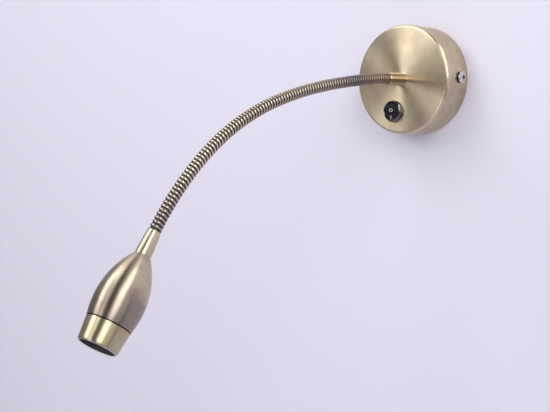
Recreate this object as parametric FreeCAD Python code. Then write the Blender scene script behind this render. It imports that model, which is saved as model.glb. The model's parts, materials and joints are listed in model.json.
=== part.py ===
import FreeCAD, Part
import math
import os

# Bedside wall reading lamp: canopy with rocker switch, gooseneck and spot head.
# Millimetres. The wall is the plane Y = 0, the lamp stands out along -Y, +Z is up, +X is right.
# The origin is the centre of the bracket's back face, between its two wall screws.

os.makedirs("parts", exist_ok=True)
V = FreeCAD.Vector
X_AXIS = V(1, 0, 0)
Y_AXIS = V(0, 1, 0)
Z_AXIS = V(0, 0, 1)

# ---------------------------------------------------------------- driving dimensions
canopy_radius = 40.0
canopy_depth = 26.0
canopy_wall = 1.2
canopy_edge = 2.0
side_screw_depth = 10.0          # distance of the two side screws from the wall
side_screw_rise = 1.3            # and above the canopy's middle
m4_shank = 1.95                  # radii round the M4 screws
m4_tapped = 2.0
m4_clearance = 2.2

bracket_width = 14.0
bracket_sheet = 1.5
bracket_bend = 1.0               # inner radius of its two bends
bracket_reach = 38.0             # outer face of each upright flange, from the centre
flange_height = 15.0
wall_slot_offset = 27.0
wall_slot_width = 4.5
wall_slot_length = 12.0

switch_x = -6.4
switch_z = -23.1
cutout_radius = 7.5
bezel_radius = 8.2
bezel_height = 3.1
bezel_bore = 7.25                # round the switch's collar
bezel_lip = 6.65                 # the smaller bore in front of the collar
rocker_radius = 6.4
rocker_valley = 2.0              # the rocker's middle stands this far out of the canopy
rocker_curve = 18.5              # radius of its hollow face
rocker_tilt = 10.0               # each way from the middle position
pin_radius = 0.8

hose_radius = 3.9
coil_wire_radius = 0.8
coil_pitch = 2.6
core_radius = 2.25
core_bore = 1.5
lead_radius = 0.55
lead_offset = 0.65
base_ferrule_length = 18.2
base_ferrule_radius = 4.7        # at the canopy
base_ferrule_tip = 4.45          # at the hose
ferrule_chamfer = 0.3
ferrule_grip = 8.5               # how far the hose's core runs into each ferrule

# Turns of the hose in each of its eight spans, and its droop below level at their ends.
span_turns = [5, 14, 14, 14, 14, 14, 14, 7]
droop_degrees = [0.0, 4.0, 7.0, 11.0, 17.5, 28.0, 40.0, 50.0, 55.5]
core_gap = 0.3                   # between the ends of two spans
wire_gap = 0.4

head_ferrule_length = 15.7
shell_top = 15.8                 # heights in the head are measured from the hose's end
shell_end = 58.8
belly_height = 45.5
belly_radius = 14.85
shoulder_radius = 5.0
shell_rim_radius = 13.3
ring_start = 59.3
mouth_height = 72.95
ring_back_radius = 13.25
mouth_radius = 11.9
shell_bore = 11.9
stud_radius = 3.0                # M6 studs of both ferrules
stud_bore = 1.65
nut_flats = 10.0
nut_height = 3.0
washer_sheet = 0.8


# ---------------------------------------------------------------- helpers
def save(name, *solids):
    """Writes one sub-part; several solids become one group."""
    shape = solids[0] if len(solids) == 1 else Part.makeCompound(list(solids))
    assert shape.isValid(), name
    shape.exportStep(f"parts/{name}.step")
    print(f"{name}: {len(shape.Solids)} solid(s), {shape.Volume:.1f} mm3")


def put(shape, placement):
    moved = shape.copy()
    moved.Placement = placement.multiply(moved.Placement)
    return moved


def block(x0, x1, y0, y1, z0, z1):
    return Part.makeBox(x1 - x0, y1 - y0, z1 - z0, V(x0, y0, z0))


def rod(radius, length, start, direction):
    return Part.makeCylinder(radius, length, start, direction)


def turned(*outline):
    """A solid turned about local Z. A step is a (radius, height) corner, or a
    ((radius, height) on the way, (radius, height) at the end) arc."""
    def at(pair):
        return V(pair[0], 0, pair[1])

    edges = []
    here = outline[0]
    for step in list(outline[1:]) + [outline[0]]:
        if isinstance(step[0], tuple):
            edges.append(Part.Arc(at(here), at(step[0]), at(step[1])).toShape())
            here = step[1]
        else:
            edges.append(Part.makeLine(at(here), at(step)))
            here = step
    face = Part.Face(Part.Wire(edges))
    return face.revolve(V(0, 0, 0), Z_AXIS, 360)


def tube(outer, bore, low, high):
    return turned((bore, low), (outer, low), (outer, high), (bore, high))


def hexagon_nut(across_flats, bore, low, high):
    corner = across_flats / math.sqrt(3)
    points = []
    for k in range(7):
        turn = math.radians(60 * k)
        points.append(V(corner * math.cos(turn), corner * math.sin(turn), low))
    prism = Part.Face(Part.makePolygon(points)).extrude(V(0, 0, high - low))
    blank = turned((0, low), (corner - 0.5, low), (corner + 0.2, low + 0.5),
                   (corner + 0.2, high - 0.5), (corner - 0.5, high), (0, high))
    return prism.common(blank).cut(rod(bore, high - low, V(0, 0, low), Z_AXIS))


def pan_screw(head, height, shank, length, recess):
    """A cross-recessed pan-head screw, seated at local height 0, its shank below."""
    screw = turned((0, -length), (shank - 0.4, -length), (shank, -length + 0.5), (shank, 0),
                   (head, 0), (head, height * 0.65),
                   ((head * 0.72, height * 0.9), (0, height)))
    arm = head * 0.55
    for half_x, half_y in ((arm, recess / 2), (recess / 2, arm)):
        screw = screw.cut(block(-half_x, half_x, -half_y, half_y, height * 0.35, height + 1))
    return screw


def swept(edges, radius):
    """A round bar along lines and arcs that run on smoothly."""
    first = edges[0]
    start = first.valueAt(first.FirstParameter)
    circle = Part.makeCircle(radius, start, first.tangentAt(first.FirstParameter))
    return Part.Wire(edges).makePipeShell([Part.Wire([circle])], True)


def routed(points, radius):
    """A lead along a route of corners, each rounded as far as its two runs allow."""
    edges = []
    here = points[0]
    for before, corner, after in zip(points, points[1:], points[2:]):
        back = (before - corner).normalize()
        on = (after - corner).normalize()
        run = min(before.distanceToPoint(corner), after.distanceToPoint(corner))
        cut = 0.45 * run
        entry = corner + back * cut
        leave = corner + on * cut
        half = back.getAngle(on) / 2
        bend = cut * math.tan(half)
        inward = (back + on).normalize()
        middle = corner + inward * (bend / math.sin(half) - bend)
        edges.append(Part.makeLine(here, entry))
        edges.append(Part.Arc(entry, middle, leave).toShape())
        here = leave
    edges.append(Part.makeLine(here, points[-1]))
    return swept(edges, radius)


# From the wall outwards: local Z points along -Y, local Y points up.
ON_WALL = FreeCAD.Placement(V(0, 0, 0), FreeCAD.Rotation(X_AXIS, 90))
ON_SWITCH = FreeCAD.Placement(V(switch_x, 0, switch_z), FreeCAD.Rotation(X_AXIS, 90))


# ---------------------------------------------------------------- the hose's route
# Each span is an arc in the plane X = 0, tangent to the one before.
span_lengths = [turns * coil_pitch for turns in span_turns]
stations = [0.0]
for length in span_lengths:
    stations.append(stations[-1] + length)
hose_length = stations[-1]


def along_arc(start, droop, bend, length, distance):
    """The point at a distance along an arc, and the droop there, in radians."""
    radius = length / bend
    end = droop + distance / radius
    step = V(0, -radius * (math.sin(end) - math.sin(droop)), radius * (math.cos(end) - math.cos(droop)))
    return start + step, end


span_starts = [V(0, -canopy_depth - base_ferrule_length, 0)]
droops = [math.radians(d) for d in droop_degrees]
for k, length in enumerate(span_lengths):
    end, _ = along_arc(span_starts[k], droops[k], droops[k + 1] - droops[k], length, length)
    span_starts.append(end)


def hose_point(distance):
    """Point and droop on the hose's centreline, which runs on straight past both ends."""
    if distance <= 0:
        return span_starts[0] + V(0, -distance, 0), droops[0]
    if distance >= hose_length:
        rest = distance - hose_length
        ahead = V(0, -math.cos(droops[-1]), -math.sin(droops[-1]))
        return span_starts[-1] + ahead * rest, droops[-1]
    k = max(n for n in range(len(span_lengths)) if stations[n] <= distance)
    bend = droops[k + 1] - droops[k]
    return along_arc(span_starts[k], droops[k], bend, span_lengths[k], distance - stations[k])


def hose_edges(start, end, side=0.0):
    """The centreline between two distances as lines and arcs, moved sideways."""
    stops = [start] + [s for s in stations if start < s < end] + [end]
    edges = []
    for a, b in zip(stops, stops[1:]):
        first = hose_point(a)[0] + V(side, 0, 0)
        middle = hose_point((a + b) / 2)[0] + V(side, 0, 0)
        last = hose_point(b)[0] + V(side, 0, 0)
        if b <= 0 or a >= hose_length:
            edges.append(Part.makeLine(first, last))
        else:
            edges.append(Part.Arc(first, middle, last).toShape())
    return edges


# ---------------------------------------------------------------- canopy and bracket
def make_canopy():
    inside = canopy_radius - canopy_wall
    front = canopy_depth
    back_of_face = canopy_depth - canopy_wall
    corner = canopy_edge * (1 - math.sqrt(0.5))
    inner_edge = canopy_edge - canopy_wall
    inner_corner = inner_edge * (1 - math.sqrt(0.5))
    cup = turned(
        (inside, 0), (canopy_radius, 0), (canopy_radius, front - canopy_edge),
        ((canopy_radius - corner, front - corner), (canopy_radius - canopy_edge, front)),
        (0, front), (0, back_of_face), (inside - inner_edge, back_of_face),
        ((inside - inner_corner, back_of_face - inner_corner), (inside, back_of_face - inner_edge)))
    cup = cup.cut(rod(stud_radius + 0.15, 4, V(0, 0, back_of_face - 1), Z_AXIS))
    cup = cup.cut(rod(cutout_radius, 4, V(switch_x, switch_z, back_of_face - 1), Z_AXIS))
    for side in (-1, 1):
        hole = rod(m4_clearance, 6, V(side * (inside - 2), side_screw_rise, side_screw_depth), X_AXIS * side)
        cup = cup.cut(hole)
    save("canopy_shell", put(cup, ON_WALL))


tab_left, tab_right, tab_bottom = 5.0, 27.0, -23.0
earth_x, earth_z = 11.5, 1.5
fixing_x, fixing_z = 19.3, -15.0         # screw hole under the terminal block
fixing_radius = 1.5
grommet_hole = 5.0
grommet_bore = 3.2
grommet_flange = 6.5


def make_bracket():
    half = bracket_width / 2
    sheet = bracket_sheet
    bar = block(-bracket_reach, bracket_reach, -flange_height, 0, -half, half)
    hollow = block(-bracket_reach + sheet, bracket_reach - sheet, -flange_height - 1, -sheet, -half, half)
    bar = bar.cut(hollow)
    bend_faces = ((bracket_reach, 0, sheet + bracket_bend), (bracket_reach - sheet, -sheet, bracket_bend))
    for x, y, radius in bend_faces:
        for side in (-1, 1):
            bends = []
            for edge in bar.Edges:
                middle = edge.CenterOfMass
                if abs(middle.x - side * x) < 0.01 and abs(middle.y - y) < 0.01 and abs(middle.z) < 0.01:
                    bends.append(edge)
            bar = bar.makeFillet(radius, bends)
    bar = bar.fuse(block(tab_left, tab_right, -sheet, 0, tab_bottom, -half + 1)).removeSplitter()
    drill = -Y_AXIS
    for side in (-1, 1):
        middle = side * wall_slot_offset
        reach = (wall_slot_length - wall_slot_width) / 2
        radius = wall_slot_width / 2
        bar = bar.cut(block(middle - reach, middle + reach, -3, 1, -radius, radius))
        for end in (-reach, reach):
            bar = bar.cut(rod(radius, 4, V(middle + end, 1, 0), drill))
        tap_start = V(side * (bracket_reach - 4), -side_screw_depth, side_screw_rise)
        bar = bar.cut(rod(m4_tapped, 6, tap_start, X_AXIS * side))
    bar = bar.cut(rod(grommet_hole, 4, V(0, 1, 0), drill))
    bar = bar.cut(rod(m4_tapped, 4, V(earth_x, 1, earth_z), drill))
    bar = bar.cut(rod(fixing_radius, 4, V(fixing_x, 1, fixing_z), drill))
    save("mounting_bracket", bar)


def make_canopy_fasteners():
    screw = pan_screw(4.2, 3.0, m4_shank, 8.0, 1.1)
    screws = []
    for side in (-1, 1):
        aim = FreeCAD.Rotation(Z_AXIS, X_AXIS * side)
        seat = V(side * canopy_radius, -side_screw_depth, side_screw_rise)
        screws.append(put(screw, FreeCAD.Placement(seat, aim)))
    save("side_screws", *screws)

    lug_back = bracket_sheet + 0.02
    lug_sheet = 0.8
    lug_front = lug_back + lug_sheet
    crimp_start = V(0, -4.3, lug_back + 1.55)
    lug = tube(3.8, m4_shank + 0.15, lug_back, lug_front)
    neck = block(-1.4, 1.4, -5.0, -3.0, lug_back, lug_front)
    barrel = rod(1.5, 3.6, crimp_start, -Y_AXIS)
    barrel = barrel.cut(rod(mains_radius + 0.05, 3.7, crimp_start, -Y_AXIS))
    lug = lug.fuse(neck).fuse(barrel).removeSplitter()
    at_lug = FreeCAD.Placement(V(earth_x, 0, earth_z), FreeCAD.Rotation(X_AXIS, 90))
    save("earth_lug", put(lug, at_lug))
    at_head = FreeCAD.Placement(V(earth_x, -lug_front, earth_z), FreeCAD.Rotation(X_AXIS, 90))
    save("earth_screw", put(pan_screw(3.6, 2.2, m4_shank, 2.2, 1.0), at_head))

    groove = grommet_hole - 0.1
    sheet_front = bracket_sheet + 0.05
    grommet = turned((grommet_bore, 0.2), (groove, 0.2), (groove, sheet_front),
                     (grommet_flange, sheet_front), (grommet_flange, 2.6), (4.6, 4.0), (grommet_bore, 4.0))
    save("cable_grommet", put(grommet, ON_WALL))


# ---------------------------------------------------------------- terminals and driver
pole_pitch = 6.6
pole_start = 9.4
pole_depth = 5.0                 # height of the wire bores above the wall
pole_bore = 1.7
block_bottom, block_top = -21.0, -9.0
poles = [pole_start + pole_pitch * k for k in range(3)]
clamp_offset = 3.3               # the two clamp screws of a pole stand this far from its middle
clamp_bore = 1.6
clamp_screw = 1.5
tower_radius = 2.9
mains_radius = 0.9               # leads from the supply to the driver


def make_terminals():
    base = bracket_sheet
    half_pole = pole_pitch / 2
    body = block(poles[0] - half_pole, poles[-1] + half_pole, -8.5, -base, block_bottom, block_top)
    screws = []
    middle = (block_bottom + block_top) / 2
    clamps = [(x, z) for x in poles for z in (middle - clamp_offset, middle + clamp_offset)]
    for x, z in clamps:
        body = body.fuse(rod(tower_radius, 5.5, V(x, -8.0, z), -Y_AXIS))
    for x in poles:
        body = body.cut(rod(pole_bore, 14, V(x, -pole_depth, block_bottom - 1), Z_AXIS))
    for x, z in clamps:
        body = body.cut(rod(clamp_bore, 9, V(x, -pole_depth, z), -Y_AXIS))
        screw = rod(clamp_screw, 4.2, V(x, -8.4, z), -Y_AXIS)
        slot = block(x - clamp_bore, x + clamp_bore, -12.7, -11.8, z - 0.25, z + 0.25)
        screws.append(screw.cut(slot))
    save("terminal_block", body.removeSplitter())
    save("terminal_screws", *screws)


driver_half, driver_low, driver_high = 21.0, 9.5, 28.5
driver_front, driver_back = 23.8, 8.8    # distances from the wall
driver_wall = 1.5
driver_lead_x = 2.0
driver_lead_depth = 13.0
mains_height = 17.0
mains_depth = 14.0
lid_thickness = 1.5
lid_plug = 1.2


def make_driver():
    case = block(-driver_half, driver_half, -driver_front, -driver_back, driver_low, driver_high)
    room = block(-driver_half + driver_wall, driver_half - driver_wall, -driver_front + driver_wall,
                 -driver_back + 1, driver_low + driver_wall, driver_high - driver_wall)
    case = case.cut(room)
    for side in (-1, 1):
        outlet = V(side * driver_lead_x, -driver_lead_depth, driver_low - 1)
        case = case.cut(rod(lead_radius + 0.25, 4, outlet, Z_AXIS))
        inlet = V(side * (driver_half - 3), -mains_depth, mains_height)
        case = case.cut(rod(mains_radius + 0.1, 5, inlet, X_AXIS * side))
    save("driver_case", case)
    rim = driver_wall + 0.1
    lid = block(-driver_half, driver_half, -driver_back, -driver_back + lid_thickness,
                driver_low, driver_high)
    plug = block(-driver_half + rim, driver_half - rim, -driver_back - lid_plug, -driver_back,
                 driver_low + rim, driver_high - rim)
    save("driver_lid", lid.fuse(plug).removeSplitter())
    save("driver_pad", block(-driver_half + 3, driver_half - 3, -canopy_depth + canopy_wall, -driver_front,
                             driver_low + 2, driver_high - 2))


# ---------------------------------------------------------------- rocker switch
pivot_height = canopy_depth + 0.5
housing_back = 14.0
housing_floor = 1.5
housing_radius = 7.4             # behind the canopy's face
collar_radius = 7.2              # through the canopy's face, under the bezel
collar_bore = 6.6
collar_height = 1.8
clip_length = 4.5
blade_half_gap = 3.5
blade_back = 8.0
blade_half_width = 2.4
blade_half_sheet = 0.4


def make_switch():
    face = canopy_depth
    floor = housing_back + housing_floor
    housing = turned((0, housing_back), (housing_radius, housing_back), (housing_radius, face),
                     (collar_radius, face), (collar_radius, face + collar_height),
                     (collar_bore, face + collar_height), (collar_bore, floor), (0, floor))
    inside = face - canopy_wall
    for side in (-1, 1):
        foot = side * collar_radius
        tip = side * (cutout_radius + 1.0)
        wing = Part.makePolygon([V(foot, -2, inside - clip_length), V(tip, -2, inside - 0.05),
                                 V(foot, -2, inside - 0.05), V(foot, -2, inside - clip_length)])
        housing = housing.fuse(Part.Face(wing).extrude(V(0, 4, 0)))
    housing = housing.cut(rod(pin_radius + 0.02, 20, V(-10, 0, pivot_height), X_AXIS))
    blades = []
    for side in (-1, 1):
        x = side * blade_half_gap
        deep = blade_half_sheet + 0.02
        wide = blade_half_width + 0.02
        housing = housing.cut(block(x - deep, x + deep, -wide, wide, housing_back - 1, housing_back + 3))
        blade = block(x - blade_half_sheet, x + blade_half_sheet, -blade_half_width, blade_half_width,
                      blade_back, housing_back + 3)
        blades.append(put(blade, ON_SWITCH))
    save("switch_housing", put(housing.removeSplitter(), ON_SWITCH))
    save("switch_blades", *blades)

    ledge = face + collar_height + 0.05
    crest = bezel_lip + 0.3
    slope = ((bezel_radius - 0.35, face + bezel_height * 0.65), (crest, face + bezel_height))
    bezel = turned((bezel_bore, face), (bezel_radius, face), (bezel_radius, face + 0.6), slope,
                   (bezel_lip, face + bezel_height - 0.3), (bezel_lip, ledge), (bezel_bore, ledge))
    save("switch_bezel", put(bezel, ON_SWITCH))

    pin_end = collar_radius - 0.1
    pin = rod(pin_radius, 2 * pin_end, V(-pin_end, 0, pivot_height), X_AXIS)
    save("rocker_pin", put(pin, ON_SWITCH))

    ball = Part.makeSphere(rocker_radius, V(0, 0, pivot_height))
    valley = face + rocker_valley
    reach = rocker_radius + 1.6
    rise = rocker_curve - math.sqrt(rocker_curve ** 2 - reach ** 2)
    low = pivot_height - 4.0
    left = -rocker_radius - 1
    top_end, bottom_end = V(left, reach, valley + rise), V(left, -reach, valley + rise)
    sides = Part.makePolygon([bottom_end, V(left, -reach, low), V(left, reach, low), top_end])
    hollow = Part.Arc(top_end, V(left, 0, valley), bottom_end).toShape()
    side_view = Part.Face(Part.Wire(sides.Edges + [hollow]))
    rocker = ball.common(side_view.extrude(V(-2 * left, 0, 0)))
    rocker = rocker.cut(rod(pin_radius + 0.05, -2 * left, V(left, 0, pivot_height), X_AXIS))
    rocker.rotate(V(0, 0, pivot_height), X_AXIS, rocker_tilt)
    save("switch_rocker", put(rocker, ON_SWITCH))


# ---------------------------------------------------------------- leads inside the canopy
stud_end = 17.5                  # the base ferrule's stud ends this far from the wall


def make_canopy_leads():
    outputs = []
    for side in (-1, 1):
        outputs.append(routed([V(side * lead_offset, -stud_end + 0.2, 0),
                               V(side * lead_offset, -driver_lead_depth, 0),
                               V(side * driver_lead_x, -driver_lead_depth, 4.5),
                               V(side * driver_lead_x, -driver_lead_depth, driver_low + 2)], lead_radius))
    save("lamp_leads", *outputs)

    mains = mains_radius
    right_blade = switch_x + blade_half_gap
    left_blade = switch_x - blade_half_gap
    feed = routed([V(right_blade, -blade_back + 0.1, switch_z), V(right_blade, -3.4, switch_z),
                   V(3.0, -3.4, -26.8), V(poles[1], -pole_depth, -27.5),
                   V(poles[1], -pole_depth, block_bottom + 2)], mains)
    switched = routed([V(left_blade, -blade_back + 0.1, switch_z), V(left_blade, -3.6, switch_z),
                       V(-14.5, -4.5, -12), V(-15.5, -7, 0), V(-25.5, -12, 6),
                       V(-26.5, -mains_depth, mains_height),
                       V(-driver_half + 1, -mains_depth, mains_height)], mains)
    save("switch_leads", feed, switched)
    neutral = routed([V(poles[2], -pole_depth, block_top - 2), V(poles[2], -7, -4), V(26, -11, 6),
                      V(26.5, -mains_depth, mains_height),
                      V(driver_half - 1, -mains_depth, mains_height)], mains)
    save("neutral_lead", neutral)
    barrel_depth = bracket_sheet + 1.57
    earth = routed([V(earth_x, -barrel_depth, earth_z - 5.4), V(earth_x, -barrel_depth, earth_z - 9.0),
                    V(poles[0], -pole_depth, block_top + 0.2),
                    V(poles[0], -pole_depth, block_top - 2)], mains)
    save("earth_lead", earth)


# ---------------------------------------------------------------- gooseneck
def coil_point(distance):
    centre, droop = hose_point(distance)
    turn = 2 * math.pi * distance / coil_pitch
    radius = hose_radius - coil_wire_radius
    up = V(0, -math.sin(droop), math.cos(droop))
    return centre + up * (radius * math.cos(turn)) + X_AXIS * (radius * math.sin(turn))


def coil_direction(distance):
    step = 0.001
    return (coil_point(distance + step) - coil_point(distance - step)).normalize()


def tangent_arc(start, direction, end):
    """The arc from start, leaving along direction, to end."""
    chord = end - start
    across = chord - direction * chord.dot(direction)
    half = math.atan2(across.Length, chord.dot(direction)) / 2
    rise = chord.Length / 2 * math.tan(half)
    outward = (direction * math.sin(2 * half) - across.normalize() * math.cos(2 * half)).normalize()
    return Part.Arc(start, start + chord * 0.5 + outward * rise, end).toShape()


def biarc(start, direction, end, end_direction):
    """Two arcs that leave start and reach end in the given directions."""
    chord = end - start
    both = direction + end_direction
    share = 2 * (1 - direction.dot(end_direction))
    reach = chord.dot(both)
    d = (math.sqrt(reach * reach + share * chord.dot(chord)) - reach) / share
    middle = (start + end + (direction - end_direction) * d) * 0.5
    back = tangent_arc(end, end_direction * -1, middle)
    second = Part.Arc(middle, back.valueAt((back.FirstParameter + back.LastParameter) / 2), end).toShape()
    return [tangent_arc(start, direction, middle), second]


def coil_span(start, end):
    """The outer wire between two distances, in quarter turns."""
    count = max(1, round((end - start) / coil_pitch * 4))
    stops = [start + (end - start) * k / count for k in range(count + 1)]
    edges = []
    for a, b in zip(stops, stops[1:]):
        edges += biarc(coil_point(a), coil_direction(a), coil_point(b), coil_direction(b))
    return swept(edges, coil_wire_radius)


def least_coil_gap():
    """Free space between one turn of the wire and the next, over the whole hose."""
    steps_per_turn = 24
    count = int(hose_length / coil_pitch * steps_per_turn)
    points = [coil_point(hose_length * k / count) for k in range(count + 1)]
    gaps = []
    for k, point in enumerate(points):
        for other in points[k + steps_per_turn // 2:k + 2 * steps_per_turn]:
            gaps.append(point.distanceToPoint(other) - 2 * coil_wire_radius)
    return min(gaps)


def make_hose():
    last = len(span_lengths) - 1
    wire_per_length = math.hypot(2 * math.pi * (hose_radius - coil_wire_radius) / coil_pitch, 1)
    wire_step = wire_gap / 2 / wire_per_length
    wire_end = coil_wire_radius + 0.1
    lead_start = -(canopy_depth + base_ferrule_length - stud_end)
    for k in range(last + 1):
        start = stations[k]
        end = stations[k + 1]
        coil_from = wire_end if k == 0 else start + wire_step
        coil_to = end - wire_end if k == last else end - wire_step
        save(f"neck_coil_{k}", coil_span(coil_from, coil_to))

        core_from = -ferrule_grip if k == 0 else start + core_gap / 2
        core_to = end + ferrule_grip if k == last else end - core_gap / 2
        spine = hose_edges(core_from, core_to)
        save(f"neck_core_{k}", swept(spine, core_radius).cut(swept(spine, core_bore)))

        lead_from = lead_start if k == 0 else start + core_gap / 2
        lead_to = end + leads_end if k == last else end - core_gap / 2
        leads = []
        for side in (-lead_offset, lead_offset):
            leads.append(swept(hose_edges(lead_from, lead_to, side), lead_radius))
        save(f"neck_leads_{k}", *leads)
    print(f"hose: {sum(span_turns)} turns over {hose_length:.1f} mm, least gap {least_coil_gap():.2f} mm")
    for k, point in enumerate(span_starts):
        print(f"station {k}: {point.y:.3f} {point.z:.3f} droop {droop_degrees[k]}")


def make_base_ferrule():
    face = canopy_depth
    end = canopy_depth + base_ferrule_length
    grip = end - ferrule_grip - 0.5
    socket = core_radius + 0.05
    ferrule = turned(
        (stud_bore, stud_end), (stud_radius, stud_end), (stud_radius, face),
        (base_ferrule_radius - ferrule_chamfer, face), (base_ferrule_radius, face + ferrule_chamfer),
        (base_ferrule_tip, end - ferrule_chamfer), (base_ferrule_tip - ferrule_chamfer, end),
        (socket, end), (socket, grip), (stud_bore, grip))
    save("base_ferrule", put(ferrule, ON_WALL))
    washer_top = face - canopy_wall
    washer_back = washer_top - washer_sheet
    washer = tube(5.6, stud_radius + 0.1, washer_back, washer_top)
    teeth = 12
    for k in range(teeth):
        notch = block(4.4, 6.0, -0.45, 0.45, washer_top - 1, washer_top + 1)
        notch.rotate(V(0, 0, 0), Z_AXIS, 360 / teeth * k)
        washer = washer.cut(notch)
    save("lock_washer", put(washer, ON_WALL))
    nut_front = washer_back - 0.05
    nut = hexagon_nut(nut_flats, stud_radius + 0.05, nut_front - nut_height, nut_front)
    save("neck_nut", put(nut, ON_WALL))


# ---------------------------------------------------------------- spot head
# Local Z runs from the hose's end to the mouth, and local height 0 is the hose's end.
ON_HEAD = FreeCAD.Placement(span_starts[-1], FreeCAD.Rotation(X_AXIS, 90 + droop_degrees[-1]))
sink_back, sink_front = 33.05, 45.0
board_front = sink_front + 1.6
leads_end = sink_front - 0.3
board_radius = 9.0
board_screw_offset = 6.5
shoulder_bend = ((belly_height - shell_top) ** 2 + (belly_radius - shoulder_radius) ** 2) \
    / (2 * (belly_radius - shoulder_radius))
rim_bend = ((shell_end - belly_height) ** 2 + (belly_radius - shell_rim_radius) ** 2) \
    / (2 * (belly_radius - shell_rim_radius))
shell_wall = 1.3
shell_step = 33.0                # the wide bore for the light engine starts here
cavity_top = 20.0
lens_back, lens_front = 51.0, 57.4
lens_rim = 9.6
lens_seat = 55.85
holder_radius = 10.6
ring_thread_radius = 11.8
ring_bore = 10.75
sleeve_radius = 10.65
sleeve_bore = 10.3
sleeve_shoulder = 8.9


def bulge(height, bend, inset=0.0):
    """Radius of the shell at a height on an arc that is widest at the belly."""
    return belly_radius - bend + math.sqrt((bend - inset) ** 2 - (height - belly_height) ** 2)


def make_head_ferrule():
    end = head_ferrule_length
    socket = core_radius + 0.05
    grip = ferrule_grip + 0.5
    stud_tip = cavity_top + 6.0
    ferrule = turned(
        (socket, 0), (3.7, 0), (3.95, 0.3), ((4.6, 7.5), (4.85, end)),
        (stud_radius, end), (stud_radius, stud_tip), (stud_bore, stud_tip), (stud_bore, grip),
        (socket, grip))
    save("head_ferrule", put(ferrule, ON_HEAD))
    nut_back = cavity_top + 0.05
    nut = hexagon_nut(nut_flats, stud_radius + 0.05, nut_back, nut_back + nut_height)
    save("head_nut", put(nut, ON_HEAD))


def make_head_shell():
    stud_hole = stud_radius + 0.1
    inner_start = (bulge(shell_step, shoulder_bend, shell_wall), shell_step)
    inner_middle = (bulge(26, shoulder_bend, shell_wall), 26)
    inner_end = (bulge(cavity_top, shoulder_bend, shell_wall), cavity_top)
    shell = turned(
        (stud_hole, shell_top), (shoulder_radius, shell_top),
        ((bulge(30, shoulder_bend), 30), (belly_radius, belly_height)),
        ((bulge(52, rim_bend), 52), (shell_rim_radius, shell_end)),
        (shell_bore, shell_end), (shell_bore, shell_step), inner_start,
        (inner_middle, inner_end), (stud_hole, cavity_top))
    save("head_shell", put(shell, ON_HEAD))


def make_light_engine():
    sink = tube(shell_bore - 0.05, stud_bore + 0.1, sink_back, sink_front)
    fin_pitch = 3.6
    fin_sheet = 1.2
    fin_root = sink_front - 5
    for k in range(-3, 3):
        low = k * fin_pitch + fin_sheet / 2
        sink = sink.cut(block(low, low + fin_pitch - fin_sheet, -15, 15, sink_back - 1, fin_root))
    screws = []
    board = rod(board_radius, board_front - sink_front, V(0, 0, sink_front), Z_AXIS)
    for side in (-1, 1):
        x = side * board_screw_offset
        sink = sink.cut(rod(1.05, 7, V(x, 0, sink_front - 6), Z_AXIS))
        board = board.cut(rod(1.15, 4, V(x, 0, sink_front - 1), Z_AXIS))
        screw = pan_screw(1.9, 1.2, 1.0, 6.0, 0.5)
        at = FreeCAD.Placement(V(x, 0, board_front), FreeCAD.Rotation())
        screws.append(put(put(screw, at), ON_HEAD))
    save("heat_sink", put(sink, ON_HEAD))
    save("led_board", put(board, ON_HEAD))
    save("board_screws", *screws)
    base = block(-2.5, 2.5, -2.5, 2.5, board_front, board_front + 0.9)
    dome = turned((0, board_front + 0.8), (1.8, board_front + 0.8), (1.8, board_front + 0.9),
                  ((1.3, board_front + 2.1), (0, board_front + 2.5)))
    save("led_emitter", put(base.fuse(dome).removeSplitter(), ON_HEAD))

    seat = lens_seat - 0.05
    holder_front = lens_front + 0.1
    holder = turned(
        (board_radius + 0.25, board_front + 0.05), (holder_radius, board_front + 0.05),
        (holder_radius, holder_front), (lens_rim + 0.1, holder_front), (lens_rim + 0.1, seat),
        (board_radius + 0.25, seat))
    save("lens_holder", put(holder, ON_HEAD))
    skirt = board_front + 1.4
    lens = turned(
        (0, lens_back), (2.6, lens_back), (2.9, skirt), (4.0, skirt), ((7.4, 52.4), (8.9, lens_seat)),
        (lens_rim, lens_seat), (lens_rim, lens_front), (0, lens_front))
    save("lens", put(lens, ON_HEAD))
    seal = 0.6
    ring = Part.makeTorus(9.0, seal, V(0, 0, lens_front + seal + 0.05), Z_AXIS)
    save("o_ring", put(ring, ON_HEAD))


def make_front_ring():
    thread_start = 53.5
    lip_start = mouth_height - 1.1
    lip_crest = ring_bore + 0.15
    ring = turned(
        (ring_bore, thread_start), (ring_thread_radius, thread_start), (ring_thread_radius, ring_start),
        (ring_back_radius, ring_start), (mouth_radius, lip_start),
        ((mouth_radius - 0.3, lip_start + 0.65), (lip_crest, mouth_height)),
        (ring_bore, mouth_height - 0.15))
    save("front_ring", put(ring, ON_HEAD))
    back, front = 58.7, mouth_height - 0.2
    sleeve = turned(
        (sleeve_shoulder, back), (sleeve_radius, back), (sleeve_radius, front),
        (sleeve_bore, front), (sleeve_bore, back + 1.0), (sleeve_shoulder, back + 1.0))
    save("baffle_sleeve", put(sleeve, ON_HEAD))


make_canopy()
make_bracket()
make_canopy_fasteners()
make_terminals()
make_driver()
make_switch()
make_canopy_leads()
make_base_ferrule()
make_hose()
make_head_ferrule()
make_head_shell()
make_light_engine()
make_front_ring()
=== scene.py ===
# %% [markdown]
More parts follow.
